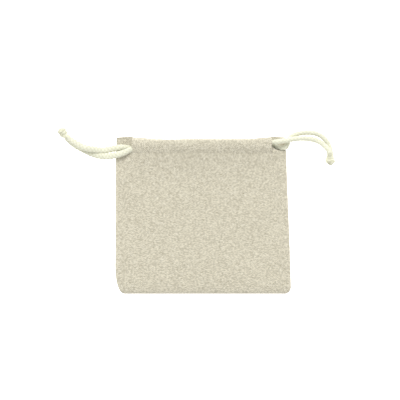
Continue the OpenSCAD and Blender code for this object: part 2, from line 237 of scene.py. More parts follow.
class Nodes:
    """Adds nodes to one tree, with their inputs set or linked as they are made."""

    def __init__(self, tree):
        self.tree = tree

    def add(self, kind, inputs=None, **settings):
        node = self.tree.nodes.new(kind)
        for name, value in settings.items():
            setattr(node, name, value)
        self.fill(node, inputs or {})
        return node

    def fill(self, node, inputs):
        for name, value in inputs.items():
            if isinstance(value, bpy.types.NodeSocket):
                self.tree.links.new(value, node.inputs[name])
            else:
                node.inputs[name].default_value = value

    def math(self, operation, *values, clamp=False):
        inputs = {i: v for i, v in enumerate(values)}
        return self.add("ShaderNodeMath", inputs, operation=operation, use_clamp=clamp).outputs[0]

    def mix(self, factor, a, b):
        """A number between a and b."""
        node = self.add("ShaderNodeMix", {0: factor, 2: a, 3: b}, data_type="FLOAT")
        return node.outputs[0]

    def mix_colour(self, factor, a, b, blend_type="MIX"):
        node = self.add("ShaderNodeMix", {0: factor, 6: a, 7: b}, data_type="RGBA", blend_type=blend_type)
        return node.outputs[2]

    def ramp(self, value, low, high, out_low=0.0, out_high=1.0):
        """value carried from low..high to out_low..out_high, and held there."""
        inputs = {"Value": value, "From Min": low, "From Max": high, "To Min": out_low, "To Max": out_high}
        return self.add("ShaderNodeMapRange", inputs).outputs[0]


def group_tree(name, inputs, outputs):
    """An empty node group with its named sockets, and its two ends."""
    tree = bpy.data.node_groups.new(name, "ShaderNodeTree")
    for socket, kind, default in inputs:
        made = tree.interface.new_socket(socket, in_out="INPUT", socket_type="NodeSocket" + kind)
        if default is not None:
            made.default_value = default
    for socket in outputs:
        tree.interface.new_socket(socket, in_out="OUTPUT", socket_type="NodeSocketFloat")
    nodes = Nodes(tree)
    return nodes, nodes.add("NodeGroupInput"), nodes.add("NodeGroupOutput")


def weave_group():
    """Plain weave of slubby yarn: height, yarn tone, dark neps and pale slubs."""
    name = "Slubby plain weave"
    if name in bpy.data.node_groups:
        return bpy.data.node_groups[name]
    n, start, end = group_tree(
        name,
        [
            ("Vector", "Vector", None), ("Pitch", "Float", 0.7 * MM),
            ("Slub", "Float", 0.5), ("Drift", "Float", 0.4 * MM),
        ],
        ["Height", "Tone", "Neps", "Slubs"],
    )
    where, pitch, slub = start.outputs["Vector"], start.outputs["Pitch"], start.outputs["Slub"]
    # The yarns wander a little from true
    wander = n.add("ShaderNodeTexNoise", {"Vector": where, "Scale": 70.0, "Detail": 2.0})
    centred = n.add(
        "ShaderNodeVectorMath", {0: wander.outputs["Color"], 1: (0.5, 0.5, 0.5)}, operation="SUBTRACT"
    )
    drift = n.add(
        "ShaderNodeVectorMath", {0: centred.outputs[0], "Scale": start.outputs["Drift"]}, operation="SCALE"
    )
    moved = n.add("ShaderNodeVectorMath", {0: where, 1: drift.outputs[0]}, operation="ADD")
    split = n.add("ShaderNodeSeparateXYZ", {0: moved.outputs[0]})
    u = n.math("DIVIDE", split.outputs[0], pitch)
    v = n.math("DIVIDE", split.outputs[1], pitch)
    column, row = n.math("FLOOR", u), n.math("FLOOR", v)
    weft_over = n.math("FLOORED_MODULO", n.math("ADD", column, row), 2.0)
    across_warp = n.math("SINE", n.math("MULTIPLY", n.math("FRACT", u), math.pi))
    across_weft = n.math("SINE", n.math("MULTIPLY", n.math("FRACT", v), math.pi))
    # Each yarn is round across, and dips under its neighbours along its length
    warp_high = n.math(
        "MULTIPLY", n.math("POWER", across_warp, 0.55), n.math("MULTIPLY_ADD", across_weft, 0.45, 0.55)
    )
    weft_high = n.math(
        "MULTIPLY", n.math("POWER", across_weft, 0.55), n.math("MULTIPLY_ADD", across_warp, 0.45, 0.55)
    )
    height = n.mix(weft_over, warp_high, weft_high)
    # The spinning's thick and thin places follow each yarn
    along_warp = n.add(
        "ShaderNodeCombineXYZ", {0: n.math("MULTIPLY", column, 3.7), 1: n.math("MULTIPLY", v, 0.16)}
    )
    along_weft = n.add(
        "ShaderNodeCombineXYZ", {0: n.math("MULTIPLY", u, 0.16), 1: n.math("MULTIPLY", row, 4.3)}
    )
    warp_tone = n.add("ShaderNodeTexNoise", {"Vector": along_warp.outputs[0], "Scale": 1.0, "Detail": 1.5})
    weft_tone = n.add("ShaderNodeTexNoise", {"Vector": along_weft.outputs[0], "Scale": 1.0, "Detail": 1.5})
    yarn_tone = n.mix(weft_over, warp_tone.outputs[0], weft_tone.outputs[0])
    crossing = n.add("ShaderNodeCombineXYZ", {0: column, 1: row})
    speck = n.add("ShaderNodeTexWhiteNoise", {"Vector": crossing.outputs[0]}, noise_dimensions="2D")
    tone = n.mix(0.85, n.ramp(yarn_tone, 0.32, 0.68), speck.outputs[0])
    # The weft is spun a shade darker than the warp
    tone = n.mix(0.18, tone, weft_over)
    # A nep or a slub fills two crossings along one yarn
    warp_cell = n.add(
        "ShaderNodeCombineXYZ", {0: column, 1: n.math("FLOOR", n.math("MULTIPLY", v, 0.45))}
    )
    weft_cell = n.add(
        "ShaderNodeCombineXYZ", {0: n.math("FLOOR", n.math("MULTIPLY", u, 0.45)), 1: n.math("ADD", row, 0.5)}
    )
    warp_luck = n.add("ShaderNodeTexWhiteNoise", {"Vector": warp_cell.outputs[0]}, noise_dimensions="2D")
    weft_luck = n.add("ShaderNodeTexWhiteNoise", {"Vector": weft_cell.outputs[0]}, noise_dimensions="2D")
    luck = n.mix(weft_over, warp_luck.outputs[0], weft_luck.outputs[0])
    neps = n.math("MULTIPLY", n.math("GREATER_THAN", luck, 0.975), n.ramp(height, 0.2, 0.7))
    slubs = n.math("MULTIPLY", n.math("LESS_THAN", luck, 0.06), n.ramp(height, 0.2, 0.7))
    thick = n.math("MULTIPLY_ADD", n.math("SUBTRACT", tone, 0.5), slub, 1.0)
    for socket, value in (
        ("Height", n.math("MULTIPLY", height, n.math("MULTIPLY_ADD", slubs, 0.3, thick))),
        ("Tone", tone),
        ("Neps", neps),
        ("Slubs", slubs),
    ):
        n.tree.links.new(value, end.inputs[socket])
    return n.tree


def fibre_group():
    """Fine loose fibres that follow a yarn, with soft darker and lighter places."""
    name = "Cotton fibres"
    if name in bpy.data.node_groups:
        return bpy.data.node_groups[name]
    n, start, end = group_tree(
        name,
        [("Vector", "Vector", None), ("Fibre", "Float", 0.12 * MM), ("Lean", "Float", 0.6)],
        ["Height", "Tone"],
    )
    split = n.add("ShaderNodeSeparateXYZ", {0: start.outputs["Vector"]})
    fibre = start.outputs["Fibre"]
    leaning = n.math("MULTIPLY_ADD", split.outputs[1], start.outputs["Lean"], split.outputs[0])
    across = n.math("DIVIDE", leaning, fibre)
    length = n.math("DIVIDE", split.outputs[1], n.math("MULTIPLY", fibre, 6.0))
    depth = n.math("DIVIDE", split.outputs[2], fibre)
    strand = n.add("ShaderNodeCombineXYZ", {0: across, 1: length, 2: depth})
    fine = n.add("ShaderNodeTexNoise", {"Vector": strand.outputs[0], "Scale": 1.0, "Detail": 3.0})
    broad = n.add("ShaderNodeTexNoise", {"Vector": start.outputs["Vector"], "Scale": 260.0, "Detail": 2.0})
    n.tree.links.new(n.ramp(fine.outputs[0], 0.3, 0.7), end.inputs["Height"])
    n.tree.links.new(n.ramp(broad.outputs[0], 0.35, 0.65), end.inputs["Tone"])
    return n.tree


# ---- Materials ----


def new_material(name):
    material = bpy.data.materials.new(name)
    material.use_nodes = True
    material.node_tree.nodes.clear()
    nodes = Nodes(material.node_tree)
    shader = nodes.add("ShaderNodeBsdfPrincipled")
    nodes.add("ShaderNodeOutputMaterial", {"Surface": shader.outputs[0]})
    return material, nodes, shader


def surface_place(nodes, on_uv, map_name):
    """Where a pattern sits: on the piece's own UV map, or on its place in the object."""
    if on_uv:
        return nodes.add("ShaderNodeUVMap", uv_map=map_name).outputs[0]
    return nodes.add("ShaderNodeTexCoord").outputs["Object"]


def cloth_material(on_uv=True):
    """Linen-look cotton: pale and flax yarns in plain weave, with neps and slubs."""
    name = "Linen-look cotton" if on_uv else "Linen-look cotton inside"
    if name in bpy.data.materials:
        return bpy.data.materials[name]
    cloth = bpy.context.scene.pouch_cloth
    material, n, shader = new_material(name)
    where = surface_place(n, on_uv, "weave")
    weave = n.add(
        "ShaderNodeGroup", {"Vector": where, "Pitch": cloth.yarn_pitch}, node_tree=weave_group()
    )
    pale, flax = (*cloth.pale_yarn, 1.0), (*cloth.flax_yarn, 1.0)
    colour = n.mix_colour(weave.outputs["Tone"], flax, pale)
    colour = n.mix_colour(n.math("MULTIPLY", weave.outputs["Slubs"], 0.55), colour, (0.74, 0.71, 0.61, 1.0))
    colour = n.mix_colour(n.math("MULTIPLY", weave.outputs["Neps"], 0.5), colour, (*cloth.nep, 1.0))
    # Painted shade: the colour is darker between the yarns, where less light comes back, and broad patches
    # are a shade apart
    shade = n.ramp(weave.outputs["Height"], 0.1, 0.75, 0.70, 1.04)
    patch = n.add("ShaderNodeTexNoise", {"Vector": where, "Scale": 38.0, "Detail": 3.0})
    patchy = n.ramp(patch.outputs[0], 0.3, 0.7, 0.985, 1.015)
    level = n.math("MULTIPLY", shade, patchy)
    grey = n.add("ShaderNodeCombineColor", {0: level, 1: level, 2: level})
    colour = n.mix_colour(1.0, colour, grey.outputs[0], "MULTIPLY")
    fibres = n.add(
        "ShaderNodeGroup", {"Vector": where, "Fibre": 0.09 * MM}, node_tree=fibre_group()
    )
    relief = n.math("MULTIPLY_ADD", fibres.outputs["Height"], 0.16, weave.outputs["Height"])
    bump = n.add("ShaderNodeBump", {"Height": relief, "Distance": 0.16 * MM, "Strength": 0.9})
    n.fill(shader, {
        "Base Color": colour,
        "Roughness": n.ramp(weave.outputs["Height"], 0.0, 1.0, 0.98, 0.84),
        "Normal": bump.outputs[0],
        "Specular IOR Level": 0.2,
        "Sheen Weight": 0.18,
        "Sheen Roughness": 0.6,
    })
    return material


def cord_material():
    """Soft spun cotton, with painted shade: the grooves between the braid's yarns are painted darker and
    warmer.
    """
    name = "Ivory cotton cord"
    if name in bpy.data.materials:
        return bpy.data.materials[name]
    cord = bpy.context.scene.pouch_cord
    material, n, shader = new_material(name)
    where = surface_place(n, True, "yarn")
    fibres = n.add(
        "ShaderNodeGroup", {"Vector": where, "Fibre": 0.11 * MM}, node_tree=fibre_group()
    )
    high = n.add("ShaderNodeAttribute", attribute_name="rib_height").outputs["Fac"]
    # Painted shade: the colour runs from ivory on the yarns' tops to the darker groove colour where they dip
    colour = n.mix_colour(n.ramp(high, 0.1, 0.75), (*cord.groove, 1.0), (*cord.ivory, 1.0))
    # Painted shade: the colour darkens a little where the fibres dip; the fibres' soft patches differ in
    # tone
    level = n.math(
        "MULTIPLY",
        n.ramp(fibres.outputs["Tone"], 0.0, 1.0, 0.94, 1.04),
        n.ramp(fibres.outputs["Height"], 0.0, 1.0, 0.90, 1.05),
    )
    grey = n.add("ShaderNodeCombineColor", {0: level, 1: level, 2: level})
    colour = n.mix_colour(1.0, colour, grey.outputs[0], "MULTIPLY")
    bump = n.add(
        "ShaderNodeBump", {"Height": fibres.outputs["Height"], "Distance": 0.07 * MM, "Strength": 0.8}
    )
    n.fill(shader, {
        "Base Color": colour,
        "Roughness": n.ramp(fibres.outputs["Height"], 0.0, 1.0, 0.95, 0.8),
        "Normal": bump.outputs[0],
        "Specular IOR Level": 0.2,
        "Sheen Weight": 0.3,
        "Sheen Roughness": 0.5,
    })
    return material


def thread_material():
    """Spun sewing thread, with its ply leaning round it."""
    name = "Cotton thread"
    if name in bpy.data.materials:
        return bpy.data.materials[name]
    material, n, shader = new_material(name)
    where = n.add("ShaderNodeTexCoord").outputs["Object"]
    fibres = n.add(
        "ShaderNodeGroup", {"Vector": where, "Fibre": 0.06 * MM, "Lean": 1.0}, node_tree=fibre_group()
    )
    thread = bpy.context.scene.pouch_cord.thread
    # Painted shade: the thread's colour darkens where its fibres dip
    dark = [0.72 * value for value in thread]
    colour = n.mix_colour(fibres.outputs["Height"], (*dark, 1.0), (*thread, 1.0))
    bump = n.add(
        "ShaderNodeBump", {"Height": fibres.outputs["Height"], "Distance": 0.03 * MM, "Strength": 0.7}
    )
    n.fill(shader, {
        "Base Color": colour,
        "Roughness": n.ramp(fibres.outputs["Tone"], 0.0, 1.0, 0.7, 0.85),
        "Normal": bump.outputs[0],
        "Specular IOR Level": 0.3,
    })
    return material


def floor_material(colour, glow):
    """Matt pale sheet, nearly even, with a little light coming up through it."""
    material, n, shader = new_material("Pale paper")
    where = n.add("ShaderNodeTexCoord").outputs["Object"]
    grain = n.add("ShaderNodeTexNoise", {"Vector": where, "Scale": 900.0, "Detail": 2.0})
    level = n.ramp(grain.outputs[0], 0.3, 0.7, 0.99, 1.0)
    grey = n.add("ShaderNodeCombineColor", {0: level, 1: level, 2: level})
    tinted = n.mix_colour(1.0, (*colour, 1.0), grey.outputs[0], "MULTIPLY")
    n.fill(shader, {
        "Base Color": tinted,
        "Roughness": 0.95,
        "Specular IOR Level": 0.1,
        "Emission Color": (*colour, 1.0),
        "Emission Strength": glow,
    })
    return material


def dress(obj, material):
    """Gives a piece its one material."""
    obj.data.materials.clear()
    obj.data.materials.append(material)


# ---- Cords ----


def smooth_line(points, step):
    """Points evenly spaced along one smooth curve through the given ones."""
    knots = np.array(points, float)
    padded = np.vstack([2 * knots[0] - knots[1], knots, 2 * knots[-1] - knots[-2]])
    fine = []
    for i in range(1, len(padded) - 2):
        before, here, there, after = padded[i - 1:i + 3]
        for t in np.linspace(0, 1, 24, endpoint=False):
            fine.append(0.5 * (
                2 * here + (there - before) * t
                + (2 * before - 5 * here + 4 * there - after) * t ** 2
                + (3 * here - before - 3 * there + after) * t ** 3
            ))
    fine = np.array(fine + [knots[-1]])
    run = np.concatenate([[0], np.cumsum(np.linalg.norm(np.diff(fine, axis=0), axis=1))])
    at = np.linspace(0, run[-1], max(3, int(round(run[-1] / step)) + 1))
    return np.array([np.interp(at, run, fine[:, k]) for k in range(3)]).T


def frames_along(line):
    """Directions across a line that turn no more than the line does."""
    ahead = np.gradient(line, axis=0)
    ahead /= np.linalg.norm(ahead, axis=1)[:, None]
    side = np.cross((0.0, 0.0, 1.0), ahead[0])
    side /= np.linalg.norm(side)
    sides = [side]
    for direction in ahead[1:]:
        side = side - direction * side.dot(direction)
        side = side / np.linalg.norm(side)
        sides.append(side)
    sides = np.array(sides)
    return sides, np.cross(ahead, sides)


def braid_height(angle, along, ribs, pitch):
    """Height from 0 to 1 of a round braid, with each yarn over one and under one."""
    a = ribs * angle / (2 * math.pi) + along / pitch
    b = ribs * angle / (2 * math.pi) - along / pitch
    one = np.sin(math.pi * (a - np.floor(a)))
    other = np.sin(math.pi * (b - np.floor(b)))
    first_over = (np.floor(a) + np.floor(b)) % 2 == 0
    return np.where(first_over, one ** 0.7 * (0.6 + 0.4 * other), other ** 0.7 * (0.6 + 0.4 * one))


def mesh_object(name, points, faces, smooth=True):
    mesh = bpy.data.meshes.new(name)
    mesh.from_pydata([tuple(p) for p in points], [], faces)
    mesh.update()
    if smooth:
        mesh.shade_smooth()
    obj = bpy.data.objects.new(name, mesh)
    bpy.context.scene.collection.objects.link(obj)
    return obj


def set_uv(obj, name, per_vertex):
    """A UV map from one place for each vertex."""
    uv = obj.data.uv_layers.new(name=name)
    corner = np.zeros(len(obj.data.loops), int)
    obj.data.loops.foreach_get("vertex_index", corner)
    uv.data.foreach_set("uv", np.asarray(per_vertex, np.float32)[corner].ravel())


def braided_tube(
    name, line, radius, sides=32, round_start=0.4, round_end=0.4, cut=None, flat=1.0, deep=1.0
):
    """A closed braided tube along a line; each end is rounded over that share of its radius.

    flat is the tube's width over its height beyond the slit, and deep is how much deeper its
    grooves are than the setting; the same share paints their colour darker, as painted shade.
    cut, when given, is the direction that the far end's cut leans back in, as long as its slope.
    """
    settings = bpy.context.scene.pouch_cord
    side, up = frames_along(line)
    along = np.concatenate([[0], np.cumsum(np.linalg.norm(np.diff(line, axis=0), axis=1))])
    angle = 2 * math.pi * np.arange(sides) / sides
    grid_angle, grid_along = np.meshgrid(angle, along)
    height = braid_height(grid_angle, grid_along, settings.ribs, settings.rib_pitch)
    reach = radius * (1 - deep * settings.rib_depth * (1 - height))
    # Close to an end the tube draws in
    for share, from_end in ((round_start, along), (round_end, along[-1] - along)):
        if share > 0:
            t = np.clip(from_end / (share * radius), 0, 1)
            reach = reach * (0.35 + 0.65 * np.sqrt(1 - (1 - t) ** 2))[:, None]
    near = np.minimum(along - IN_TUNNEL, along[-1] - along) / (8 * MM)
    wide = (1 + (math.sqrt(flat) - 1) * np.clip(near, 0, 1))[:, None, None]
    ring = (
        wide * np.cos(grid_angle)[..., None] * side[:, None]
        + np.sin(grid_angle)[..., None] / wide * up[:, None]
    )
    points = line[:, None] + reach[..., None] * ring
    if cut is not None:
        ahead = (line[-1] - line[-3]) / np.linalg.norm(line[-1] - line[-3])
        near = np.clip(1 - (along[-1] - along) / (1.6 * radius), 0, 1)[:, None]
        points = points - ((reach[..., None] * ring) @ np.array(cut) * near)[..., None] * ahead
    points = points.reshape(-1, 3)
    count = len(line)
    faces = []
    for i in range(count - 1):
        for k in range(sides):
            p, q = i * sides + k, i * sides + (k + 1) % sides
            faces.append((p, q, q + sides, p + sides))
    first, last = len(points), len(points) + 1
    points = np.vstack([points, line[0], line[-1]])
    for k in range(sides):
        faces.append((first, (k + 1) % sides, k))
        faces.append((last, (count - 1) * sides + k, (count - 1) * sides + (k + 1) % sides))
    obj = mesh_object(name, points, faces)
    round_it = grid_angle.ravel() * radius
    set_uv(obj, "yarn", np.vstack([
        np.column_stack([round_it, grid_along.ravel()]), [(0, along[0]), (0, along[-1])]
    ]))
    # The rib height given to the colour is divided by deep, so deeper grooves are also painted darker, as
    # shade
    rib = obj.data.attributes.new("rib_height", "FLOAT", "POINT")
    rib.data.foreach_set("value", np.concatenate([height.ravel() / deep, [0.4, 0.4]]).astype(np.float32))
    return obj


def join(name, objects):
    """One object from several, with the first one's name replaced."""
    bpy.ops.object.select_all(action="DESELECT")
    for obj in objects:
        obj.select_set(True)
    bpy.context.view_layer.objects.active = objects[0]
    bpy.ops.object.join()
    joined = bpy.context.view_layer.objects.active
    joined.name = name
    joined.data.name = name
    bpy.ops.object.select_all(action="DESELECT")
    return joined


def lift_middle(obj):
    """Bakes a front piece's placing into its mesh."""
    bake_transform(obj)


class POUCH_OT_camera(bpy.types.Operator):
    """Adds the camera, straight above the pouch"""

    bl_idname = "pouch.camera"
    bl_label = "Camera"

    def execute(self, context):
        stage = context.scene.pouch_stage
        data = bpy.data.cameras.new("Camera")
        data.lens = stage.lens
        data.sensor_width = 36
        data.dof.use_dof = False
        camera = bpy.data.objects.new("Camera", data)
        context.scene.collection.objects.link(camera)
        distance = stage.picture_width * data.lens / data.sensor_width
        camera.location = Vector(stage.aim) + Vector((0, 0, distance))
        camera.rotation_euler = (0, 0, 0)
        data.clip_start = 0.01
        context.scene.camera = camera
        return {"FINISHED"}


class POUCH_OT_tails(bpy.types.Operator):
    """Lays the four cord tails from their slits to the knots"""

    bl_idname = "pouch.tails"
    bl_label = "Cord tails"

    def execute(self, context):
        radius = context.scene.pouch_cord.diameter / 2
        for node, route, side in TAILS:
            line = smooth_line(route, TAIL_STEP)
            flat = context.scene.pouch_cord.flatness if side == "left" else 1.0
            tail = braided_tube(node + "_cord", line, 1.03 * radius, round_end=0, flat=flat)
            dress(tail, cord_material())
            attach(tail, side + "_cord")
            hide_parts(node)
        return {"FINISHED"}


def knot_frame(node, heading):
    """Middle and directions of a knot: along its tails, across them and up."""
    low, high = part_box(node)
    middle = np.array((low + high) / 2)
    along = np.array((math.cos(heading), math.sin(heading), 0))
    across = np.array((-math.sin(heading), math.cos(heading), 0))
    return middle, along, across, np.array((0, 0, 1.0))


def tie_knot(name, node, heading, tails, lean, reach, cut, bulge, ahead):
    """An overhand knot of both tails: cord wrapped round its own core, and two cut ends."""
    middle, along, across, up = knot_frame(node, heading)
    middle = middle - along * 0.5 * MM

    def place(a, b, c):
        return middle + (a * along + b * across + c * up) * MM

    turns, steps = 1.9, 28
    wrap = []
    for i in range(steps + 1):
        t = i / steps
        angle = 2 * math.pi * turns * t + lean
        out = 1.15 * min(1.0, 4 * t + 0.2, 4 * (1 - t) + 0.2)
        run = ahead + 1.7 * (2 * t - 1) + 0.4 * math.cos(angle)
        wrap.append(place(run, bulge * out * math.cos(angle), out * math.sin(angle)))
    # The knot's wrap and cut ends have deeper grooves, and their colour is painted darker, as shade between
    # the tight loops
    pieces = [braided_tube(name + "_wrap", smooth_line(wrap, 0.24 * MM), 1.75 * MM, sides=28, deep=1.6)]
    for side, tail in zip((-1, 1), tails):
        stub = [
            tuple(np.array(tail[-1]) - 0.3 * (np.array(tail[-1]) - np.array(tail[-2]))),
            tail[-1],
            place(-0.6, side * 0.8, -side * 0.7),
            place(0.55 * reach, side * 0.95, -side * 0.6),
            place(reach - side * cut, side * 1.05, -side * 0.4),
        ]
        pieces.append(braided_tube(
            name + "_end", smooth_line(stub, 0.24 * MM), 1.6 * MM, sides=28, round_start=0, round_end=0.9,
            cut=tuple(across * 0.5 * cut), deep=1.6,
        ))
    return join(name, pieces)


class POUCH_OT_knots(bpy.types.Operator):
    """Ties each cord's two tails together"""

    bl_idname = "pouch.knots"
    bl_label = "Knots"

    def execute(self, context):
        knots = [
            (
                "left_knot", LEFT_KNOT_HEADING, "left_cord", (LEFT_FRONT, LEFT_BACK),
                0.4, 2.0, 0.0, 1.15, 1.3,
            ),
            (
                "right_knot", RIGHT_KNOT_HEADING, "right_cord", (RIGHT_FRONT, RIGHT_BACK),
                0.6, 2.6, 0.4, 1.3, 1.3,
            ),
        ]
        for node, heading, body, *shape in knots:
            knot = tie_knot(node + "_tied", node, heading, *shape)
            dress(knot, cord_material())
            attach(knot, body)
            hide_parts(node)
        for node, route, side in TAILS:
            line = smooth_line(route, TAIL_STEP)
        return {"FINISHED"}


class POUCH_OT_tunnel_cords(bpy.types.Operator):
    """Lays the cords' hidden runs in the front of the tunnel, and finishes those in its back"""

    bl_idname = "pouch.tunnel_cords"
    bl_label = "Cords in the tunnel"

    def execute(self, context):
        radius = context.scene.pouch_cord.diameter / 2
        for node in ("left_cord_front_run", "right_cord_front_run"):
            low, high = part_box(node)
            y, z = (low.y + high.y) / 2, (low.z + high.z) / 2
            run = [(low.x, y, z), ((low.x + high.x) / 2, y, z), (high.x, y, z)]
            cord = braided_tube(node + "_cord", smooth_line(run, 0.6 * MM), radius, sides=20)
            dress(cord, cord_material())
            lift_middle(cord)
            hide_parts(node)
        for node, side in (("left_cord_back_run", 1), ("right_cord_back_run", -1)):
            low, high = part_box(node)
            y, turn = (low.y + high.y) / 2, (high.z - low.z) / 2 - radius
            start, end = (low.x, high.x) if side > 0 else (high.x, low.x)
            middle_x, middle_z = end - side * (turn + radius), (low.z + high.z) / 2
            run = [(start, y, low.z + radius), ((start + middle_x) / 2, y, low.z + radius)]
            for a in np.linspace(-math.pi / 2, math.pi / 2, 9):
                run.append((middle_x + side * turn * math.cos(a), y, middle_z + turn * math.sin(a)))
            cord = braided_tube(node + "_cord", smooth_line(run, 0.6 * MM), radius, sides=20)
            dress(cord, cord_material())
            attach(cord, "pouch")
            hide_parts(node)
        return {"FINISHED"}


# ---- Cloth ----


def smooth_step(low, high, value):
    t = min(1.0, max(0.0, (value - low) / (high - low)))
    return t * t * (3 - 2 * t)


def corner_in(y, height, share):
    """How far a round bottom corner draws the edge in; share is its width over its height."""
    up = max(0.0, y - BOTTOM)
    return share * (height - math.sqrt(height ** 2 - (height - up) ** 2)) if up < height else 0.0


def edge_left(y):
    slope = (REAR_LOW.x - BACK_LOW.x) / (MOUTH - BOTTOM)
    corner = corner_in(y, bpy.context.scene.pouch_cloth.left_corner, LEFT_CORNER_SHARE)
    return BACK_LOW.x + slope * (y - BOTTOM) + corner


def edge_right(y):
    slope = (REAR_HIGH.x - BACK_HIGH.x) / (MOUTH - BOTTOM)
    fuller = RIGHT_FULLER + RIGHT_BOTTOM_FULLER * (1 - smooth_step(BOTTOM + 15 * MM, HEM, y))
    corner = corner_in(y, bpy.context.scene.pouch_cloth.right_corner, RIGHT_CORNER_SHARE)
    return BACK_HIGH.x + slope * (y - BOTTOM) + fuller - corner


def edge_share(x, y):
    """0 in the pouch's middle and 1 at its side edges."""
    left, right = edge_left(y), edge_right(y)
    return min(1.0, abs(2 * x - left - right) / (right - left))


def crease(x, y, start, end, width, height):
    """A soft ridge from start to end that fades along its length."""
    run = (end[0] - start[0], end[1] - start[1])
    length = math.hypot(*run)
    t = ((x - start[0]) * run[0] + (y - start[1]) * run[1]) / length ** 2
    if not -0.15 < t < 1:
        return 0.0
    off = abs((x - start[0]) * run[1] - (y - start[1]) * run[0]) / length
    fade = smooth_step(-0.15, 0.1, t) * (1 - smooth_step(0.25, 1, t))
    return height * fade * math.exp(-(off / (width * (0.7 + 0.8 * max(t, 0)))) ** 2)


# Creases that run down from the slits, and two long ones where the front hangs slack
CREASES = [
    ((-0.0435, 0.0392), (-0.0405, 0.0220), 1.5 * MM, 0.42 * MM),
    ((-0.0385, 0.0392), (-0.0350, 0.0260), 1.3 * MM, 0.28 * MM),
    ((-0.0480, 0.0370), (-0.0500, 0.0150), 1.4 * MM, 0.30 * MM),
    ((0.0425, 0.0392), (0.0400, 0.0200), 1.5 * MM, 0.40 * MM),
    ((0.0370, 0.0392), (0.0335, 0.0270), 1.2 * MM, 0.26 * MM),
    ((0.0475, 0.0370), (0.0500, 0.0170), 1.4 * MM, 0.28 * MM),
    ((-0.0400, 0.0150), (-0.0100, -0.0250), 4.0 * MM, 0.30 * MM),
    ((0.0420, 0.0050), (0.0150, -0.0330), 4.5 * MM, 0.28 * MM),
]


def pucker(x, y, settings):
    """Gathers of the hem stitching, strongest at the stitch line."""
    beat = math.sin(2 * math.pi * x / (5.4 * MM) + 2.6 * noise.noise(Vector((x * 60, 4.0, 0))))
    strength = 0.55 + 0.9 * abs(noise.noise(Vector((x * 45, 9.0, 0))))
    reach = 6.5 * MM if y < STITCH_LINE else 2.6 * MM
    return settings.pucker * strength * beat * math.exp(-abs(y - STITCH_LINE) / reach)


def front_height(x, y):
    """Height of the front cloth's middle surface over the floor."""
    settings = bpy.context.scene.pouch_cloth
    half = settings.thickness / 2
    across = edge_share(x, y)
    up = min(1.0, (y - BOTTOM) / (HEM - BOTTOM))
    down = max(0.0, 1 - 2 * (y - BOTTOM) / (MOUTH - BOTTOM))
    roll = math.sqrt(max(0.0, 1 - across ** 22)) * math.sqrt(max(0.0, 1 - down ** 22))
    # The front is crowned, and the cords in the tunnel hold its top higher between the slits
    crown = math.sqrt(max(0.0, 1 - max(0.0, 1 - 3.2 * up) ** 2)) * (1 - across ** 4)
    slit = SLIT_LEFT if x < 0 else SLIT_RIGHT
    shoulder = 1 - smooth_step(0, 1, (abs(x) - abs(slit) + 1.5 * MM) / (10 * MM))
    held = math.exp(-max(0.0, STITCH_LINE - y) / (12 * MM)) * shoulder
    z = BACK_HIGH.z + 0.3 * MM + half + 2 * MM * roll + settings.loft * crown + settings.hem_rise * held
    # Slack waves die out at the seams and at the hem
    calm = min(1.0, 6 * (1 - across)) * smooth_step(0, 0.12, up) * (1 - smooth_step(0.75, 0.95, up))
    wave = noise.noise(Vector((x * 22, y * 26, 1.7))) + 0.4 * noise.noise(Vector((x * 60, y * 48, 5.1)))
    z += settings.waves * wave * calm
    z += pucker(x, y, settings) * min(1.0, 8 * (1 - across))
    for start, end, width, height in CREASES:
        z += crease(x, y, start, end, width, height)
    # The stitching draws the cloth down into a shallow groove
    z -= 0.24 * MM * math.exp(-((y - STITCH_LINE) / (1.0 * MM)) ** 2) * min(1.0, 8 * (1 - across))
    return z


def sag(x):
    """How far the mouth's edge lies below its ends."""
    amount = bpy.context.scene.pouch_cloth.mouth_sag
    slit = SLIT_LEFT if x < 0 else SLIT_RIGHT
    inside = smooth_step(0, 1, (abs(slit) - abs(x)) / (17 * MM))
    return amount * inside + 0.22 * amount * math.exp(-((x + 20 * MM) / (8 * MM)) ** 2)


def tunnel_section():
    """Places round the front's tunnel, as (way, height, on the outer face).

    way runs from 0 at the hem to 1 at the crest and 2 at the mouth's edge; height runs from the
    hem or the middle, at 0, to the crest, at 1.
    """
    outside = [(u, math.sin(math.pi / 2 * u), True) for u in np.linspace(0, 1, 13)[1:]]
    over = []
    for a in np.linspace(math.pi / 2, -math.pi / 2, 22)[1:]:
        height = math.copysign(abs(math.sin(a)) ** 0.75, math.sin(a))
        over.append((1 + abs(math.cos(a)) ** 0.8, height, False))
    inside = [(1 - 0.92 * t, -1 + 0.6 * t ** 5, False) for t in np.linspace(0, 1, 10)[1:]]
    return outside + over + inside


def column_places(count_side, count_middle):
    """For each column its strip (0 left, 1 middle, 2 right) and its share of that strip."""
    ease = [1 - math.cos(math.pi / 2 * k / count_side) for k in range(count_side)]
    places = [(0, e) for e in ease] + [(0, 0.995)]
    places += [(1, k / count_middle) for k in range(count_middle)]
    return [*places, (2, 0.0), (2, 0.005), *[(2, p) for p in sorted(1 - e for e in ease)]]


def column_x(place, y):
    strip, share = place
    if strip == 0:
        return edge_left(y) + share * (SLIT_LEFT - edge_left(y))
    if strip == 1:
        return SLIT_LEFT + share * (SLIT_RIGHT - SLIT_LEFT)
    return SLIT_RIGHT + share * (edge_right(y) - SLIT_RIGHT)


def in_tunnel(place):
    return place[0] == 1 or (place[0] == 2 and place[1] == 0)


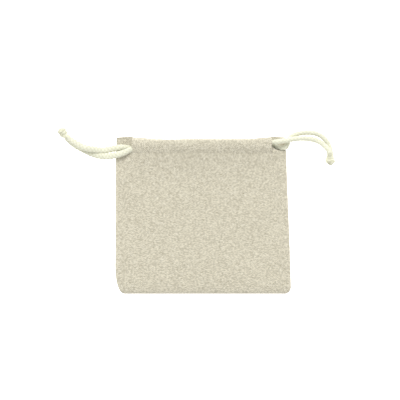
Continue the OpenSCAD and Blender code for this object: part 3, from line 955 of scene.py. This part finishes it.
def cloth_object(name, columns, rows, keep):
    """A sheet from rows of points, where None leaves a hole; with keep false the faces are turned the other
    way.
    """
    points, index, uv = [], {}, []
    run = np.zeros(len(columns))
    for j, row in enumerate(rows):
        for i in range(len(columns)):
            if row[i] is None:
                continue
            if j and rows[j - 1][i] is not None:
                run[i] += (Vector(row[i]) - Vector(rows[j - 1][i])).length
            index[j, i] = len(points)
            points.append(row[i])
            uv.append((row[i][0], run[i]))
    faces = []
    for j in range(len(rows) - 1):
        for i in range(len(columns) - 1):
            corners = [(j, i), (j, i + 1), (j + 1, i + 1), (j + 1, i)]
            if all(c in index for c in corners):
                faces.append([index[c] for c in corners])
    obj = mesh_object(name, points, faces if keep else [f[::-1] for f in faces])
    set_uv(obj, "weave", uv)
    return obj


def thicken(obj, thickness):
    """Gives a sheet its cloth's thickness, half to each side."""
    bpy.ops.object.select_all(action="DESELECT")
    obj.select_set(True)
    bpy.context.view_layer.objects.active = obj
    solid = obj.modifiers.new("Thickness", "SOLIDIFY")
    solid.thickness = thickness
    solid.offset = 0
    bpy.ops.object.modifier_apply(modifier=solid.name)
    obj.select_set(False)


class POUCH_OT_front_cloth(bpy.types.Operator):
    """Makes the front's one piece of cloth, with its top hemmed into the tunnel"""

    bl_idname = "pouch.front_cloth"
    bl_label = "Front cloth"

    def execute(self, context):
        settings = context.scene.pouch_cloth
        columns = column_places(12, 170)
        low = [BOTTOM + (HEM - 4 * MM - BOTTOM) * (0.35 * t * t + 0.65 * t) for t in np.linspace(0, 1, 66)]
        high = list(np.linspace(HEM - 4 * MM, HEM - 0.3 * MM, 12))[1:]
        rows = []
        for y in low + high:
            raised = [(column_x(c, y), self.slit_edge(c, y)) for c in columns]
            rows.append([(x, edge, front_height(x, edge)) for x, edge in raised])
        for way, height, outer in tunnel_section():
            rows.append([self.tunnel_point(c, way, height, outer) for c in columns])
        # Inside, the hem's edge is turned and lies under the stitching
        for back in (0.2, 1.2, 2.4):
            y = HEM - back * MM
            rows.append([
                (column_x(c, HEM), y, front_height(column_x(c, HEM), HEM - 3 * MM) - 0.72 * MM)
                if in_tunnel(c) else None
                for c in columns
            ])
        cloth = cloth_object("front_cloth", columns, rows, True)
        thicken(cloth, settings.thickness)
        dress(cloth, cloth_material())
        lift_middle(cloth)
        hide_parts("front_panel", "front_casing", "front_left_side", "front_right_side")
        return {"FINISHED"}

    def slit_edge(self, place, y):
        """Beyond the slits the front reaches a little above the hem."""
        if in_tunnel(place):
            return y
        x = column_x(place, HEM)
        away = max(SLIT_LEFT - x, x - SLIT_RIGHT)
        rise = 1.2 * MM if x < 0 else 1.6 * MM + 3.0 * MM * math.exp(-away / (2.5 * MM))
        return y + rise * smooth_step(HEM - 6 * MM, HEM, y)

    def tunnel_point(self, place, way, height, outer):
        if not in_tunnel(place):
            return None
        settings = bpy.context.scene.pouch_cloth
        half = settings.thickness / 2
        x = column_x(place, HEM)
        low, crest = HEM - 0.3 * MM, HEM + 0.55 * (MOUTH - HEM)
        # The front's edge lies a little below the back's, most of all at the left
        top = MOUTH - half - sag(x) - 0.25 * MM - 0.8 * MM * (1 - smooth_step(-42 * MM, -24 * MM, x))
        y = low + (crest - low) * way if way <= 1 else crest + (top - crest) * (way - 1)
        middle_z, crest_z = (TUNNEL_LOW.z + TUNNEL_HIGH.z) / 2, TUNNEL_HIGH.z - half
        if outer:
            hem_z = front_height(x, low)
            z = hem_z + (crest_z - hem_z) * height
        else:
            z = middle_z + (crest_z - middle_z) * height
        # Slack in the cloth, and the slit's mouth a little thicker
        slack = 0.16 * MM * noise.noise(Vector((x * 70, y * 40, 3.0)))
        to_slit = min(x - SLIT_LEFT, SLIT_RIGHT - x)
        lip = 0.15 * MM * (1 - smooth_step(0.6 * MM, 2.2 * MM, to_slit))
        if height > 0:
            z += (slack + lip) * min(1.0, 3 * way) + (pucker(x, y, settings) if outer else 0)
        wavy = 0.15 * MM * noise.noise(Vector((x * 55, 0, 8.0))) * smooth_step(0.8, 2, way)
        return (x, y + wavy, z)


class POUCH_OT_back_cloth(bpy.types.Operator):
    """Makes the back's one piece of cloth, with its tunnel and its two open corners"""

    bl_idname = "pouch.back_cloth"
    bl_label = "Back cloth"

    def execute(self, context):
        settings = context.scene.pouch_cloth
        half = settings.thickness / 2
        columns = column_places(12, 120)
        rows = []
        for t in np.linspace(0, 1, 40):
            y = BOTTOM + (HEM - 3 * MM - BOTTOM) * t
            rows.append([self.floor_point(column_x(c, y), y, half) for c in columns])
        brow = MOUTH - 1.6 * MM
        for y in np.linspace(HEM - 3 * MM, brow, 22)[1:]:
            places = [(column_x(c, min(y, HEM)), self.sagged(c, y)) for c in columns]
            rows.append([self.floor_point(x, lower, half) for x, lower in places])
        # Over the mouth's edge, and down again inside to the hem
        top = REAR_HIGH.z - half
        for a in np.linspace(0, math.pi, 13)[1:]:
            y = brow + (MOUTH - half - brow) * math.sin(a)
            z = half + (top - half) * (1 - math.cos(a)) / 2
            row = []
            for c in columns:
                x = column_x(c, HEM)
                if in_tunnel(c):
                    row.append((x, self.sagged(c, y), z))
                    continue
                # The open corners run up a little higher beside the slits
                inward = 1 - max(SLIT_LEFT - x, x - SLIT_RIGHT) / (10 * MM)
                corner = MOUTH - 0.1 * MM + 0.8 * MM * inward
                share = a / (0.25 * math.pi)
                turned = (x, brow + (corner - brow) * share, half + 0.3 * MM * a)
                row.append(turned if share <= 1.01 else None)
            rows.append(row)
        for t in np.linspace(0, 1, 16)[1:]:
            y = brow + t * (HEM - brow)
            z = top - (top - 3 * half - 0.1 * MM) * smooth_step(0.72, 1, t)
            rows.append([
                (column_x(c, HEM), self.sagged(c, y), z) if in_tunnel(c) else None for c in columns
            ])
        for back in (1.0, 2.2):
            rows.append([
                (column_x(c, HEM), HEM - back * MM, 3 * half + 0.05 * MM) if in_tunnel(c) else None
                for c in columns
            ])
        cloth = cloth_object("back_cloth", columns, rows, False)
        thicken(cloth, settings.thickness)
        dress(cloth, cloth_material())
        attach(cloth, "pouch")
        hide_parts("back_panel", "back_casing")
        return {"FINISHED"}

    def sagged(self, place, y):
        """y, drawn down as the mouth's edge sags between the slits."""
        if y <= HEM or not in_tunnel(place):
            return y
        return y - sag(column_x(place, HEM)) * (y - HEM) / (MOUTH - HEM)

    def floor_point(self, x, y, half):
        across = edge_share(x, min(y, HEM))
        down = max(0.0, 1 - 2 * (y - BOTTOM) / (MOUTH - BOTTOM))
        curl = 0.4 * MM * max(across ** 26, down ** 26)
        groove = 0.28 * MM * math.exp(-((y - STITCH_LINE) / (0.8 * MM)) ** 2) * min(1.0, 8 * (1 - across))
        return (x, y, half + curl + groove)


# ---- Seams and stitches ----


def sewn_stitch(name, length, radius):
    """One stitch of thread: a rod that dives into the cloth at both ends, along X."""
    bpy.ops.object.select_all(action="DESELECT")
    bpy.ops.mesh.primitive_cylinder_add(
        vertices=8, radius=radius, depth=length, rotation=(0, math.pi / 2, 0), end_fill_type="TRIFAN"
    )
    stitch = bpy.context.view_layer.objects.active
    stitch.name = name
    bpy.ops.object.transform_apply(location=True, rotation=True, scale=True)
    bpy.ops.object.mode_set(mode="EDIT")
    bpy.ops.mesh.select_all(action="SELECT")
    for share in (-0.36, -0.18, 0.0, 0.18, 0.36):
        bpy.ops.mesh.select_all(action="SELECT")
        bpy.ops.mesh.bisect(plane_co=(share * length, 0, 0), plane_no=(1, 0, 0))
    bpy.ops.object.mode_set(mode="OBJECT")
    for vertex in stitch.data.vertices:
        t = abs(vertex.co.x) / (length / 2)
        vertex.co.y *= 1 - 0.45 * t ** 4
        vertex.co.z = vertex.co.z * (1 - 0.45 * t ** 4) - 1.6 * radius * t ** 4
    stitch.data.shade_smooth()
    return stitch


def copies(model, name, placings):
    """Copies of one model at (place, turn about Z, flipped), joined into one piece."""
    made = []
    for place, turn, flipped in placings:
        copy = model.copy()
        copy.data = model.data.copy()
        bpy.context.scene.collection.objects.link(copy)
        turned = Euler((math.pi if flipped else 0, 0, turn)).to_matrix().to_4x4()
        copy.data.transform(turned)
        copy.data.transform(copy.matrix_world.Translation(place))
        made.append(copy)
    bpy.data.objects.remove(model)
    return join(name, made)


def hem_places(settings):
    count = int((SLIT_RIGHT - SLIT_LEFT) / settings.stitch_pitch) - 1
    return [SLIT_LEFT + settings.stitch_pitch * (i + 1) for i in range(count)]


class POUCH_OT_hem_stitches(bpy.types.Operator):
    """Sews the hem's stitching on the front, and on both faces of the back"""

    bl_idname = "pouch.hem_stitches"
    bl_label = "Hem stitching"

    def execute(self, context):
        settings = context.scene.pouch_cloth
        half = settings.thickness / 2
        length, radius = 2.1 * MM, 0.19 * MM
        spots = []
        for i, x in enumerate(hem_places(settings)):
            z = front_height(x, STITCH_LINE) + half + 0.12 * MM
            spots.append(((x, STITCH_LINE + 0.05 * MM * (-1) ** i, z), 0.03 * math.sin(5 * i), False))
        front = copies(sewn_stitch("stitch", length, radius), "front_hem_stitches", spots)
        dress(front, thread_material())
        lift_middle(front)
        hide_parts("front_hem_stitch")
        spots = []
        floor_point = POUCH_OT_back_cloth.floor_point
        for i, x in enumerate(hem_places(settings)):
            z = floor_point(None, x, STITCH_LINE, half)[2]
            spots.append(((x, STITCH_LINE, z + 2 * half + 0.25 * MM), 0.03 * math.sin(4 * i), False))
            spots.append(((x, STITCH_LINE, z - half - 0.08 * MM), 0.03 * math.sin(7 * i), True))
        back = copies(sewn_stitch("stitch", length, radius), "back_hem_stitches", spots)
        dress(back, thread_material())
        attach(back, "pouch")
        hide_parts("back_hem_stitch")
        return {"FINISHED"}


class POUCH_OT_seams(bpy.types.Operator):
    """Finishes the seam allowances inside, their stitches and overlocking, and the slits' tacks"""

    bl_idname = "pouch.seams"
    bl_label = "Seams inside"

    def execute(self, context):
        cloth_nodes = ("left_seam_allowance", "right_seam_allowance", "bottom_seam_allowance")
        thread_nodes = (
            "left_side_stitch", "right_side_stitch", "bottom_stitch",
            "left_overlock", "right_overlock", "bottom_overlock",
            "left_slit_tack", "right_slit_tack",
        )
        for nodes, material in (
            (cloth_nodes, cloth_material(on_uv=False)), (thread_nodes, thread_material())
        ):
            for node in nodes:
                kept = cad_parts[node]
                kept.data.materials.clear()
                kept.data.materials.append(material)
        return {"FINISHED"}


# ---- Stage ----


class POUCH_OT_stage(bpy.types.Operator):
    """Adds the pale floor and the soft light"""

    bl_idname = "pouch.stage"
    bl_label = "Floor and light"

    def execute(self, context):
        stage = context.scene.pouch_stage
        bpy.ops.object.select_all(action="DESELECT")
        bpy.ops.mesh.primitive_plane_add(size=4)
        floor = context.view_layer.objects.active
        floor.name = "floor"
        floor.data.materials.append(floor_material(stage.floor, stage.floor_glow))
        data = bpy.data.lights.new("key", "AREA")
        data.size = KEY_SIZE
        data.energy = stage.key_power
        light = bpy.data.objects.new("key", data)
        context.scene.collection.objects.link(light)
        light.location = KEY_PLACE
        light.rotation_euler = (-Vector(KEY_PLACE)).to_track_quat("-Z", "Y").to_euler()
        world = bpy.data.worlds.new("Studio")
        context.scene.world = world
        world.use_nodes = True
        world.node_tree.nodes["Background"].inputs[0].default_value = (1.0, 1.0, 1.0, 1.0)
        world.node_tree.nodes["Background"].inputs[1].default_value = stage.sky
        context.scene.view_settings.view_transform = "Standard"
        return {"FINISHED"}


class POUCH_PT_panel(bpy.types.Panel):
    bl_label = "Drawstring gift pouch"
    bl_idname = "POUCH_PT_panel"
    bl_space_type = "VIEW_3D"
    bl_region_type = "UI"
    bl_category = "Pouch"

    def draw(self, context):
        for operator in OPERATORS:
            self.layout.operator(operator.bl_idname)
        for name in ("pouch_cloth", "pouch_cord", "pouch_stage"):
            group = getattr(context.scene, name)
            box = self.layout.box()
            for prop in group.bl_rna.properties:
                if prop.identifier not in ("rna_type", "name"):
                    box.prop(group, prop.identifier)


OPERATORS = (
    POUCH_OT_camera,
    POUCH_OT_tails,
    POUCH_OT_knots,
    POUCH_OT_tunnel_cords,
    POUCH_OT_back_cloth,
    POUCH_OT_front_cloth,
    POUCH_OT_hem_stitches,
    POUCH_OT_seams,
    POUCH_OT_stage,
)
SETTINGS = (
    ("pouch_cloth", PouchClothSettings),
    ("pouch_cord", PouchCordSettings),
    ("pouch_stage", PouchStageSettings),
)


def register():
    for name, group in SETTINGS:
        bpy.utils.register_class(group)
        setattr(bpy.types.Scene, name, PointerProperty(type=group))
    for operator in OPERATORS:
        bpy.utils.register_class(operator)
    bpy.utils.register_class(POUCH_PT_panel)


def unregister():
    bpy.utils.unregister_class(POUCH_PT_panel)
    for operator in reversed(OPERATORS):
        bpy.utils.unregister_class(operator)
    for name, group in reversed(SETTINGS):
        delattr(bpy.types.Scene, name)
        bpy.utils.unregister_class(group)


def main():
    register()
    bpy.ops.pouch.camera()
    bpy.ops.pouch.tails()
    bpy.ops.pouch.knots()
    bpy.ops.pouch.tunnel_cords()
    bpy.ops.pouch.back_cloth()
    bpy.ops.pouch.front_cloth()
    bpy.ops.pouch.hem_stitches()
    bpy.ops.pouch.seams()
    bpy.ops.pouch.stage()


if __name__ == "__main__":
    main()
